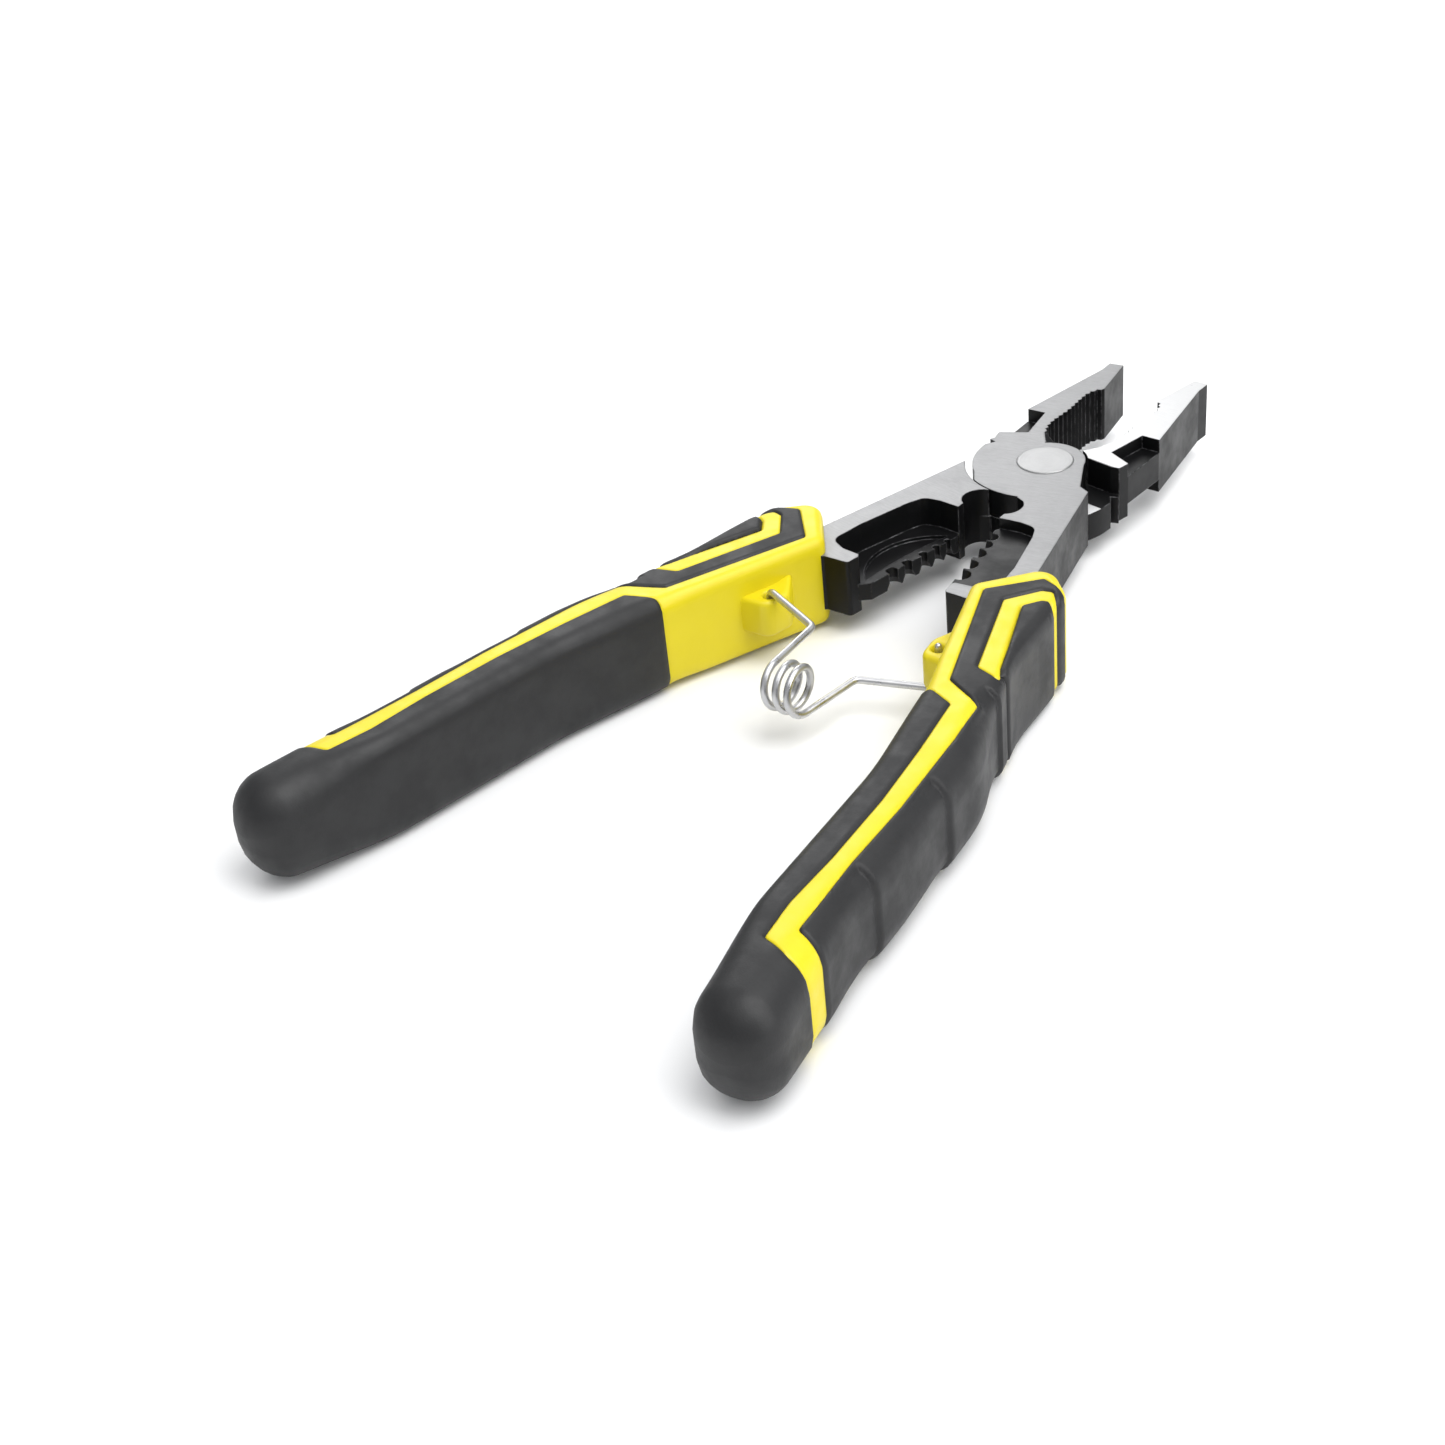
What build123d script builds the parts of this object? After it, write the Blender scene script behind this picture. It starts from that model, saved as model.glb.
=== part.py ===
from build123d import *
import math
import os

# Combination plier and wire stripper: two forged halves, a rivet, a wire spring and two-shot grips.
# The two halves are the same forging, one turned over. Each half is drawn in its own closed-pose plane:
# origin on the pivot axis at mid-thickness, +Y towards the jaw tips, the jaw on the -X side, the shank
# and the grip on the +X side, and the lap disc on the +Z side. half_plane places it in the open tool.

os.makedirs("parts", exist_ok=True)

# ---- driving dimensions, in millimetres and degrees ----
HALF_OPENING = 10.42  # each half is turned this far from its closed place
STEEL_THICKNESS = 12.5
GRIP_THICKNESS = 21.4
PIVOT_Y = 65.54  # from the middle of the footprint to the pivot
FACE_GAP = 0.05  # each gripping face stays this far from the closing plane
LAP_GAP = 0.04  # each lap face stays this far from mid-thickness
DISC_RADIUS = 16.7
SHOULDER_RADIUS = 17.0
NECK_RADIUS = 8.5  # lap disc radius on the side of the other half's jaw
NECK_CLEAR_RADIUS = 9.0

RIVET_RADIUS = 3.6
RIVET_HEAD_RADIUS = 6.0
RIVET_HEAD_HEIGHT = 2.0
RIVET_HEAD_PROUD = 0.25
RIVET_EDGE = 0.2
RUNNING_CLEARANCE = 0.06

NOTCH_LEDGE_DEPTH = 3.0
WEB_THICKNESS = 3.8
WEB_PAST_CENTRE = 0.4
SCOOP_DEPTH = 0.8
STRIP_NOTCH_BEVEL = 0.8
STRIP_NOTCH_BEVEL_DEPTH = 1.5
TOOTH_DEPTH = 0.55
TOOTH_COUNT = 15

GRIP_EDGE_RADIUS = 2.4
SKIN_THICKNESS = 2.2
BUTT_ROUNDING = 9.0
TANG_WIDTH = 7.0
TANG_THICKNESS = 6.0

BOSS_HEIGHT = 8.0
BOSS_RADIUS = 2.6
BOSS_HOLE_RADIUS = 1.45
WIRE_RADIUS = 0.75
COIL_RADIUS = 4.5
COIL_PITCH = 2.7
COIL_TURNS = 2.5
COIL_Y = -91.0  # coil centre, from the pivot
COIL_SPLIT_GAP = 0.15
COIL_STEP = 30.0  # degrees between the points that guide the coil's curve
LEG_BEND_Y = -77.0
WIRE_BEND_RADIUS = 1.6
WIRE_END_PAST_BOSS = 1.0
WIRE_OVER_BOSS = 0.35

# ---- outlines of one half, closed pose ----
JAW_TIP = (-FACE_GAP, 49.6)
JAW_TIP_FACET_TOP = (-3.4, 49.8)
JAW_TIP_FACET_LOW = (-3.95, 46.2)
JAW_SHOULDER = (-12.6, 22.0)
FOOT_TOP = (-14.4, 9.8)
FOOT_LOW = (-14.3, 7.0)
FOOT_EDGE_Y = 6.45
FOOT_EDGE_START = (-12.4, FOOT_EDGE_Y)
GRIP_FACE_LOW = (-FACE_GAP, 37.0)
CURVE_LOW = (-3.4, 9.0)
PIPE_CURVE = [GRIP_FACE_LOW, (-2.4, 34.9), (-3.6, 30.0), (-4.3, 24.0), (-5.6, 18.0), (-5.0, 12.6)]

LEDGE_INNER_TOP = (-8.3, 21.6)
LEDGE_INNER_LOW = (-8.3, 11.5)
LEDGE_OUTER_TOP = (-17.0, 22.9)
LEDGE_OUTER_LOW = (-17.0, 9.0)

CUTTER_TOP_Y = 13.4
CUTTER_LOW_Y = 9.35
CUTTER_BASE_X = -5.4

DISC_BEHIND_JAW = [(-4.6, 10.4), (-9.0, 11.0), (-13.6, 9.0)]
DISC_NOTCH = [(-15.0, 6.1), (-13.4, 5.2), (-15.1, 3.4)]
DISC_SIDE_RADIUS = 15.4
DISC_SIDE_START_Y = 2.6
DISC_SIDE_END = (-12.55, -8.9)
DISC_STEP = (-11.0, -12.55)
DISC_END_X = 0.35
LAP_INNER_CORNER = (6.0, -21.0)
NECK_START_X = -3.0  # where the neck arcs leave the jaw
NECK_MIDDLE = (5.9, 6.1)
SHANK_CORNER = (13.35, -10.5)
NECK_SIDE = (8.35, 0.6)
NECK_LOW = (11.0, -8.7)

HOLE_TOP = (0.35, -17.0)
HOLE_BULGE = (2.95, -21.6)
HOLE_LOW = (0.5, -24.6)
LIP_LOW = (0.2, -26.4)
SHOULDER_END_X = 0.36

POCKET = [(4.9, -26.8), (8.6, -28.0), (9.5, -32.0), (10.6, -44.2), (10.4, -52.4), (6.0, -53.7), (1.9, -53.4)]
POCKET_RADII = [2.0, 2.5, 3.0, 4.0, 2.6, 2.0, 0.3]
BLOCK_TOP = (1.3, -54.0)
BLOCK_LOW = (1.2, -57.1)
BLOCK_HEEL = (6.8, -58.3)
BLOCK_RADII = [0.3, 0.8, 0.8]
TANG_INNER = (9.4, -61.0)
SHANK_OUTER_LOW = (15.9, -50.0)
TANG_OUTER = (19.6, -61.0)
TANG_PATH = [(14.6, -58.0), (17.6, -80.0), (20.6, -108.0), (20.4, -126.0), (19.0, -150.0)]

WEB_CORNERS = [
    (-WEB_PAST_CENTRE, -27.4), (1.2, -25.4), (7.0, -25.4), (11.8, -29.0),
    (12.4, -52.0), (8.0, -55.4), (1.6, -55.0), (-WEB_PAST_CENTRE, -52.6),
]
STRIP_NOTCHES = [(-30.2, 0.7), (-33.5, 0.8), (-37.3, 0.95), (-41.9, 1.1), (-46.2, 1.3)]  # y, radius
SCOOP = [(1.3, -28.6), (7.9, -39.5), (1.3, -52.4)]
SCOOP_LAND = (2.3, -41.0)

# ---- outlines of one grip, closed pose ----
# each corner of the grip's plan with the radius that rounds it, clockwise from the head's inner corner
GRIP_CORNERS = [
    ((7.0, -57.6), 2.6), ((19.4, -46.8), 4.0), ((25.6, -55.2), 5.0), ((24.2, -80.0), 40.0),
    ((29.4, -106.0), 40.0), ((28.8, -128.0), 80.0), ((26.9, -158.0), 60.0), ((28.4, -186.5), 6.9),
    ((13.2, -186.5), 7.2), ((13.0, -158.0), 80.0), ((14.9, -120.0), 80.0), ((12.9, -92.0), 60.0),
]
BUTT_END_Y = -186.5

OUTSIDE_X = 33.0  # safely beyond the grip's outer side
INSIDE_X = 4.0  # safely beyond its inner side
BELOW_Y = -192.0  # safely beyond its butt
BAND_FRONT = [(10.4, -59.6), (19.9, -52.3), (23.2, -54.2), (OUTSIDE_X, -62.6)]
BAND_REAR = [(OUTSIDE_X, -72.5), (24.7, -58.8), (23.2, -56.5), (21.0, -56.6), (15.5, -62.0), (19.9, -85.4)]
BAND_INNER_LOW = (16.8, -91.0)
BAND_OUTER_LOW = (25.1, -88.0)
PAD_FRONT = [(OUTSIDE_X, -75.2), (25.6, -62.2), (24.0, -60.2), (22.3, -60.5), (19.5, -63.4), (23.9, -84.2)]
PAD_REAR = [(24.7, -86.0), (OUTSIDE_X, -84.4)]
STRIPE_OUTER = [
    (24.7, -97.0), (25.1, -108.0), (24.6, -129.7), (23.4, -145.7), (22.9, -164.2), (OUTSIDE_X, -166.4),
]
STRIPE_INNER = [
    (20.3, -98.6), (20.9, -113.0), (21.0, -129.0), (20.1, -146.0), (18.8, -158.7), (19.0, -167.8),
    (24.2, -170.0), (OUTSIDE_X, -171.2),
]
PALM_TOP = [(INSIDE_X, -95.6), (15.0, -95.0)]

BOSS_HOLE = (6.8, -73.2)
BOSS_OUTLINE = [(11.0, -62.4), (4.2, -70.2), (4.2, -76.0), (11.5, -77.4)]
BOSS_CORNER_RADIUS = 2.0


def half_plane(side, height=0.0):
    """The closed-pose plane of one half, in the open tool, offset along that half's own +Z."""
    swing = math.radians(HALF_OPENING)
    handed = 1 if side == "right" else -1
    plane = Plane(
        origin=(0, PIVOT_Y, GRIP_THICKNESS / 2),
        x_dir=(handed * math.cos(swing), math.sin(swing), 0),
        z_dir=(0, 0, handed),
    )
    return plane.offset(height)


def serrated(points):
    """Points of a toothed line along a smooth curve, each second point cut back into the jaw."""
    curve = Spline(points, mode=Mode.PRIVATE)
    steps = 2 * TOOTH_COUNT
    toothed = []
    for step in range(1, steps):
        along = step / steps
        cut = TOOTH_DEPTH * (step % 2)
        tangent = (curve % along).normalized()
        place = curve @ along + Vector(tangent.Y, -tangent.X) * -cut
        toothed.append((min(place.X, -FACE_GAP), place.Y))
    return toothed


def on_circle(radius, x=None, y=None):
    """The point of a circle about the pivot with the given y, on the -X side, or the given x, below."""
    if x is None:
        return (-math.sqrt(radius**2 - y**2), y)
    return (x, -math.sqrt(radius**2 - x**2))


def jaw_outline():
    """The full-thickness jaw: gripping face, pipe grip, outer side and foot."""
    foot_meets_arc = on_circle(NECK_CLEAR_RADIUS, y=FOOT_EDGE_Y)
    arc_end = (NECK_START_X, math.sqrt(NECK_CLEAR_RADIUS**2 - NECK_START_X**2))
    with BuildLine() as outline:
        Polyline(
            arc_end, CURVE_LOW, PIPE_CURVE[-1], *reversed(serrated(PIPE_CURVE)), GRIP_FACE_LOW, JAW_TIP,
            JAW_TIP_FACET_TOP, JAW_TIP_FACET_LOW, JAW_SHOULDER, FOOT_TOP, FOOT_LOW, FOOT_EDGE_START,
            foot_meets_arc,
        )
        RadiusArc(foot_meets_arc, arc_end, NECK_CLEAR_RADIUS)
    return outline


def lap_outline():
    """The lap disc, which fills only this half's own side of mid-thickness."""
    side_start = on_circle(DISC_SIDE_RADIUS, y=DISC_SIDE_START_Y)
    disc_end = on_circle(DISC_RADIUS, x=DISC_END_X)
    neck_start = (NECK_START_X, math.sqrt(NECK_RADIUS**2 - NECK_START_X**2))
    with BuildLine() as outline:
        Polyline(neck_start, *DISC_BEHIND_JAW, FOOT_LOW, *DISC_NOTCH, side_start)
        RadiusArc(side_start, DISC_SIDE_END, -DISC_SIDE_RADIUS)
        Line(DISC_SIDE_END, DISC_STEP)
        RadiusArc(DISC_STEP, disc_end, -DISC_RADIUS)
        Line(disc_end, HOLE_TOP)
        Polyline(HOLE_TOP, LAP_INNER_CORNER, SHANK_CORNER, NECK_LOW, NECK_SIDE)
        ThreePointArc(NECK_SIDE, NECK_MIDDLE, neck_start)
    return outline


def shank_outline():
    """The full-thickness shank, from the shoulder arc to the heel inside the grip, without its pocket."""
    shoulder_end = on_circle(SHOULDER_RADIUS, x=SHOULDER_END_X)
    with BuildLine() as outline:
        RadiusArc(SHANK_CORNER, shoulder_end, SHOULDER_RADIUS)
        ThreePointArc(shoulder_end, HOLE_BULGE, HOLE_LOW)
        Line(HOLE_LOW, LIP_LOW)
        FilletPolyline(
            LIP_LOW, *POCKET, BLOCK_TOP, BLOCK_LOW, BLOCK_HEEL, TANG_INNER,
            radius=[*POCKET_RADII, *BLOCK_RADII],
        )
        Polyline(TANG_INNER, TANG_OUTER, SHANK_OUTER_LOW, SHANK_CORNER)
    return outline


def web_outline():
    """The thin stripping web that closes the pocket and just passes the closing plane."""
    with BuildLine() as outline:
        Polyline(*WEB_CORNERS, close=True)
    return outline


def tang_outline():
    """The tang that the grip core is moulded round."""
    with BuildLine() as path:
        Spline(TANG_PATH)
    with BuildSketch() as tang:
        add(path.line)
        trace(line_width=TANG_WIDTH)
    return tang


def cut_ledges(side):
    """The stepped notch in the jaw's outer side, cut from both faces."""
    for height in (-STEEL_THICKNESS / 2, STEEL_THICKNESS / 2 - NOTCH_LEDGE_DEPTH):
        with BuildSketch(half_plane(side, height)) as ledge:
            with BuildLine():
                Polyline(LEDGE_INNER_TOP, LEDGE_OUTER_TOP, LEDGE_OUTER_LOW, LEDGE_INNER_LOW, close=True)
            make_face()
        extrude(ledge.sketch, amount=NOTCH_LEDGE_DEPTH, mode=Mode.SUBTRACT)


def add_cutter(side):
    """The side cutter: a wedge whose edge lies on the closing plane at mid-thickness."""
    flat = half_plane(side)
    upright = Plane(
        origin=flat.from_local_coords((0, CUTTER_LOW_Y, 0)),
        x_dir=flat.x_dir,
        z_dir=flat.y_dir,
    )
    half_base = STEEL_THICKNESS / 2
    with BuildSketch(upright) as wedge:
        with BuildLine():
            Polyline((-FACE_GAP, 0), (CUTTER_BASE_X, half_base), (CUTTER_BASE_X, -half_base), close=True)
        make_face()
    extrude(wedge.sketch, amount=CUTTER_TOP_Y - CUTTER_LOW_Y)


def cut_web(side):
    """The stripping notches with their bevels, and the scoop on the web's other face."""
    for notch_y, radius in STRIP_NOTCHES:
        with BuildSketch(half_plane(side, LAP_GAP)) as notch:
            with Locations((0, notch_y)):
                Circle(radius)
        extrude(notch.sketch, amount=WEB_THICKNESS, mode=Mode.SUBTRACT)
        with BuildSketch(half_plane(side, WEB_THICKNESS - STRIP_NOTCH_BEVEL_DEPTH)) as bevel_floor:
            with Locations((0, notch_y)):
                Circle(radius)
        with BuildSketch(half_plane(side, WEB_THICKNESS)) as bevel_mouth:
            with Locations((0, notch_y)):
                Circle(radius + STRIP_NOTCH_BEVEL)
        loft([bevel_floor.sketch.face(), bevel_mouth.sketch.face()], mode=Mode.SUBTRACT)
    with BuildSketch(half_plane(side, LAP_GAP)) as scoop:
        with BuildLine():
            ThreePointArc(*SCOOP)
            ThreePointArc(SCOOP[-1], SCOOP_LAND, SCOOP[0])
        make_face()
    extrude(scoop.sketch, amount=SCOOP_DEPTH, mode=Mode.SUBTRACT)


def cut_pivot(side):
    """The pivot hole and the recess for the rivet's head: tight in one half, running in the other."""
    clearance = 0 if side == "right" else RUNNING_CLEARANCE
    recess_floor = STEEL_THICKNESS / 2 + RIVET_HEAD_PROUD - RIVET_HEAD_HEIGHT - clearance
    for height, radius in ((0, RIVET_RADIUS), (recess_floor, RIVET_HEAD_RADIUS)):
        with BuildSketch(half_plane(side, height)) as bore:
            Circle(radius + clearance)
        extrude(bore.sketch, amount=STEEL_THICKNESS, mode=Mode.SUBTRACT)


def forged_half(side):
    """One forging: jaw, lap disc, shank, pocket with its stripping web, and tang."""
    with BuildPart() as half:
        for outline in (jaw_outline(), shank_outline()):
            with BuildSketch(half_plane(side, -STEEL_THICKNESS / 2)):
                add(outline.line)
                make_face()
            extrude(amount=STEEL_THICKNESS)
        cut_ledges(side)
        add_cutter(side)
        for outline, thickness in ((lap_outline(), STEEL_THICKNESS / 2), (web_outline(), WEB_THICKNESS)):
            with BuildSketch(half_plane(side, LAP_GAP)):
                add(outline.line)
                make_face()
            extrude(amount=thickness - LAP_GAP)
        with BuildSketch(half_plane(side)):
            add(tang_outline().sketch)
        extrude(amount=TANG_THICKNESS / 2, both=True)
        cut_web(side)
        cut_pivot(side)
    return half


def pivot_rivet():
    """The rivet: a shank with a flush head at each end, fast in the right half."""
    head_top = STEEL_THICKNESS / 2 + RIVET_HEAD_PROUD
    with BuildPart() as rivet:
        with BuildSketch(Plane((0, PIVOT_Y, GRIP_THICKNESS / 2 - head_top))):
            Circle(RIVET_RADIUS)
        extrude(amount=2 * head_top)
        for height in (-head_top, head_top - RIVET_HEAD_HEIGHT):
            with BuildSketch(Plane((0, PIVOT_Y, GRIP_THICKNESS / 2 + height))):
                Circle(RIVET_HEAD_RADIUS)
            extrude(amount=RIVET_HEAD_HEIGHT)
        for group in (0, -1):
            rim = rivet.edges().filter_by(GeomType.CIRCLE).group_by(Axis.Z)[group]
            chamfer(rim, length=RIVET_EDGE)
    return rivet


def grip_outline():
    """The grip's whole plan outline: slanted head, waved outer side, rounded butt, smooth inner side."""
    corners = [corner for corner, _ in GRIP_CORNERS]
    radii = [radius for _, radius in GRIP_CORNERS]
    with BuildLine() as outline:
        FilletPolyline(*corners, radius=radii, close=True)
    return outline


def side_profile(inset):
    """The grip's outline seen from the side, with its round butt."""
    half_height = GRIP_THICKNESS / 2 - inset
    end = BUTT_END_Y + inset
    with BuildLine() as profile:
        FilletPolyline(
            (-half_height, 0), (-half_height, end), (half_height, end), (half_height, 0),
            radius=BUTT_ROUNDING - inset,
        )
        Line((half_height, 0), (-half_height, 0))
    return profile


def round_butt(side, inset):
    """Keeps only what lies within the side profile."""
    upright = half_plane(side)
    across = Plane(origin=upright.origin, x_dir=upright.z_dir, z_dir=-upright.x_dir)
    with BuildSketch(across) as profile:
        add(side_profile(inset).line)
        make_face()
    extrude(profile.sketch, amount=-OUTSIDE_X, mode=Mode.INTERSECT)


def grip_body(side):
    """The whole grip as one solid, before it is parted into core and skins."""
    with BuildPart() as body:
        with BuildSketch(half_plane(side, -GRIP_THICKNESS / 2)):
            add(grip_outline().line)
            make_face()
        extrude(amount=GRIP_THICKNESS)
        rims = body.edges().group_by(Axis.Z)
        fillet(rims[0] + rims[-1], radius=GRIP_EDGE_RADIUS)
        round_butt(side, 0)
    return body


def grip_shell(side, body):
    """The outer layer of the grip, from which the soft skins are parted."""
    inner_height = GRIP_THICKNESS / 2 - SKIN_THICKNESS
    with BuildPart() as heart:
        with BuildSketch(half_plane(side, -inner_height)):
            add(grip_outline().line)
            make_face()
            offset(amount=-SKIN_THICKNESS, mode=Mode.REPLACE)
        extrude(amount=2 * inner_height)
        round_butt(side, SKIN_THICKNESS)
    with BuildPart() as shell:
        add(body.part)
        add(heart.part, mode=Mode.SUBTRACT)
    return shell


def skin(side, shell, region):
    """One soft skin: the part of the shell that lies within a plan region."""
    with BuildPart() as soft:
        add(shell.part)
        with BuildSketch(half_plane(side, -GRIP_THICKNESS)) as cut:
            with BuildLine():
                Polyline(*region, close=True)
            make_face()
        extrude(cut.sketch, amount=2 * GRIP_THICKNESS, mode=Mode.INTERSECT)
    return soft


def grip_core(side, body, skins, steel):
    """The hard core: what the skins and the steel leave of the grip, and the spring boss."""
    with BuildPart() as core:
        add(body.part)
        for soft in skins:
            add(soft.part, mode=Mode.SUBTRACT)
        with BuildSketch(half_plane(side, -BOSS_HEIGHT / 2)) as boss:
            with BuildLine():
                FilletPolyline(*BOSS_OUTLINE, radius=BOSS_CORNER_RADIUS)
                Line(BOSS_OUTLINE[-1], BOSS_OUTLINE[0])
            make_face()
        extrude(boss.sketch, amount=BOSS_HEIGHT)
        with BuildSketch(half_plane(side, -BOSS_HEIGHT)) as hole:
            with Locations(BOSS_HOLE):
                Circle(BOSS_HOLE_RADIUS)
        extrude(hole.sketch, amount=2 * BOSS_HEIGHT, mode=Mode.SUBTRACT)
        add(steel.part, mode=Mode.SUBTRACT)
    return core


def spring_route():
    """Half of the spring's centre line: five quarters of a turn, then the leg and its upturned end."""
    quarter_turns = COIL_TURNS / 2
    start = 180.0 + math.degrees(COIL_SPLIT_GAP / COIL_RADIUS)
    end = 180.0 + 360.0 * quarter_turns
    steps = round((end - start) / COIL_STEP)
    coil = []
    for step in range(steps + 1):
        degrees = start + (end - start) * step / steps
        angle = math.radians(degrees)
        advance = COIL_PITCH * (degrees - 180.0) / 360.0
        coil.append((advance, COIL_Y + COIL_RADIUS * math.cos(angle), COIL_RADIUS * math.sin(angle)))
    swing = math.radians(HALF_OPENING)
    hole_x = BOSS_HOLE[0] * math.cos(swing) - BOSS_HOLE[1] * math.sin(swing)
    hole_y = BOSS_HOLE[0] * math.sin(swing) + BOSS_HOLE[1] * math.cos(swing)
    rise = COIL_PITCH / (2 * math.pi * COIL_RADIUS)
    bend = (coil[-1][0] + rise * (LEG_BEND_Y - COIL_Y), LEG_BEND_Y, -COIL_RADIUS)
    under_boss = -(BOSS_HEIGHT / 2 + WIRE_OVER_BOSS + WIRE_RADIUS)
    wire_end = BOSS_HEIGHT / 2 + WIRE_END_PAST_BOSS
    return coil, [coil[-1], bend, (hole_x, hole_y, under_boss), (hole_x, hole_y, wire_end)]


def spring_half(side):
    """One half of the return spring, swept along its route."""
    handed = 1 if side == "right" else -1
    frame = Plane(origin=(0, PIVOT_Y, GRIP_THICKNESS / 2), x_dir=(handed, 0, 0), z_dir=(0, 0, handed))
    coil, leg = spring_route()
    with BuildPart() as wire:
        with BuildLine(frame) as route:
            Spline(coil)
            FilletPolyline(leg, radius=WIRE_BEND_RADIUS)
        centre_line = route.wire()
        with BuildSketch(Plane(origin=centre_line @ 0, z_dir=centre_line % 0)):
            Circle(WIRE_RADIUS)
        sweep(path=centre_line)
    return wire


def write(piece, name):
    """Labels one finished piece and writes its file."""
    piece.part.label = name
    export_step(piece.part, f"parts/{name}.step")


def build_half(side):
    """Every piece of one half: the forging, the grip core, its three skins and half of the spring."""
    forged = forged_half(side)
    body = grip_body(side)
    shell = grip_shell(side, body)
    band_rear = BAND_REAR + [BAND_OUTER_LOW]
    sleeve_region = BAND_FRONT + band_rear + PAD_REAR + STRIPE_OUTER[::-1] + [BAND_INNER_LOW]
    palm_region = PALM_TOP + STRIPE_INNER + [(OUTSIDE_X, BELOW_Y), (INSIDE_X, BELOW_Y)]
    sleeve = skin(side, shell, sleeve_region)
    pad = skin(side, shell, PAD_FRONT + PAD_REAR)
    palm = skin(side, shell, palm_region)
    core = grip_core(side, body, (sleeve, pad, palm), forged)
    write(forged, f"{side}_forged_half")
    write(core, f"{side}_grip_core")
    write(sleeve, f"{side}_outer_sleeve")
    write(pad, f"{side}_thumb_pad")
    write(palm, f"{side}_palm_panel")
    write(spring_half(side), f"{side}_spring_half")


build_half("right")
build_half("left")
write(pivot_rivet(), "pivot_rivet")
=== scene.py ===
import math

import bpy
import numpy as np
from mathutils import Euler, Matrix, Vector
from mathutils.geometry import delaunay_2d_cdt


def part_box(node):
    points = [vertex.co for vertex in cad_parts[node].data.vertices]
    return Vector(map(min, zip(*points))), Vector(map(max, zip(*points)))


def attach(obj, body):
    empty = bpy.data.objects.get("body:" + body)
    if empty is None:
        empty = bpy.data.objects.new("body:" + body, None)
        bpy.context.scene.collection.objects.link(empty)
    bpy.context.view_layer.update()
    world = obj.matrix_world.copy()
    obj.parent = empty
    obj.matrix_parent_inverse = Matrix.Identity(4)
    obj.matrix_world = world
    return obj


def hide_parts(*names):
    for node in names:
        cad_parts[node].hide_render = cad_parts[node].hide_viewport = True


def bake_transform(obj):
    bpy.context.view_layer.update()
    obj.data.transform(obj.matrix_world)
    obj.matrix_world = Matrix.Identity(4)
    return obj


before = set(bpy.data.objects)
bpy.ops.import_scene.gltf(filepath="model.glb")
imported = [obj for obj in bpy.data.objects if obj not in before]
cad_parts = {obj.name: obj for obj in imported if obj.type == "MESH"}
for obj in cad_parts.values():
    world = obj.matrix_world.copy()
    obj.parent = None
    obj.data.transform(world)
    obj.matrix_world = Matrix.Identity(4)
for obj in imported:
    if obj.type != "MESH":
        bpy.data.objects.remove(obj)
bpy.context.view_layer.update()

# Lengths in the shape code are millimetres in one half's closed-pose frame: the origin is on the pivot
# axis at mid-thickness, +Y points to the jaw tips and the grip is on the +X side. MM turns them to metres.
MM = 0.001
HALF_OPENING = math.radians(10.42)
PIVOT = np.array(sum(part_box("pivot_rivet"), Vector())) / 2
STEEL_HALF = 6.25  # half of the steel's thickness
LEVEL_FACING = 0.92  # a face whose normal's Z is beyond this counts as level
LAP_DEPTH = 0.25  # the lap faces lie within this of mid-thickness
RUBBED_RADIUS = 17.2  # the other half rubs the lap face bright up to here
JAW_HIGHLIGHT_Y = 6.7  # the lower half's jaw face gets a painted highlight beyond this

# ---- one grip, closed frame ----
GRIP_HALF = 10.7  # half of the grip's thickness
GRIP_CORNERS = [
    ((7.0, -57.6), 2.6), ((19.4, -46.8), 4.0), ((25.6, -55.2), 5.0), ((24.2, -80.0), 40.0),
    ((29.4, -106.0), 40.0), ((28.8, -128.0), 80.0), ((26.9, -158.0), 60.0), ((28.4, -186.5), 6.9),
    ((13.2, -186.5), 7.2), ((13.0, -158.0), 80.0), ((14.9, -120.0), 80.0), ((12.9, -92.0), 60.0),
]
GRIP_MIDDLE_X = 19.0  # between the grip's inner and outer side
FINGERS_X = GRIP_MIDDLE_X + 3  # the finger recesses stay beyond this
OUTSIDE_X = 33.0
INSIDE_X = 4.0
BELOW_Y = -192.0
BAND_FRONT = [(10.4, -59.6), (19.9, -52.3), (23.2, -54.2), (OUTSIDE_X, -62.6)]
BAND_REAR = [(OUTSIDE_X, -72.5), (24.7, -58.8), (23.2, -56.5), (21.0, -56.6), (15.5, -62.0), (19.9, -85.4)]
BAND_INNER_LOW = (16.8, -91.0)
BAND_OUTER_LOW = (25.1, -88.0)
PAD_FRONT = [(OUTSIDE_X, -75.2), (25.6, -62.2), (24.0, -60.2), (22.3, -60.5), (19.5, -63.4), (23.9, -84.2)]
PAD_REAR = [(24.7, -86.0), (OUTSIDE_X, -84.4)]
STRIPE_OUTER = [
    (24.7, -97.0), (25.1, -108.0), (24.6, -129.7), (23.4, -145.7), (22.9, -164.2), (OUTSIDE_X, -166.4),
]
STRIPE_INNER = [
    (20.3, -98.6), (20.9, -113.0), (21.0, -129.0), (20.1, -146.0), (18.8, -158.7), (19.0, -167.8),
    (24.2, -170.0), (OUTSIDE_X, -171.2),
]
PALM_TOP = [(INSIDE_X, -95.6), (15.0, -95.0)]
BAND_LOW = [BAND_OUTER_LOW] + PAD_REAR + STRIPE_OUTER[::-1] + [BAND_INNER_LOW]
REGIONS = {
    "thumb_pad": PAD_FRONT + PAD_REAR,
    "outer_sleeve": BAND_FRONT + BAND_REAR + BAND_LOW,
    "palm_panel": PALM_TOP + STRIPE_INNER + [(OUTSIDE_X, BELOW_Y), (INSIDE_X, BELOW_Y)],
}
COLOUR_CORNER_RADIUS = 0.6
CLOSE_EDGES = 0.3  # the pad and the sleeve, where nearer than this to each other, have nothing between
CLOSE_EDGES_Y = -83.0  # from here towards the butt

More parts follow.
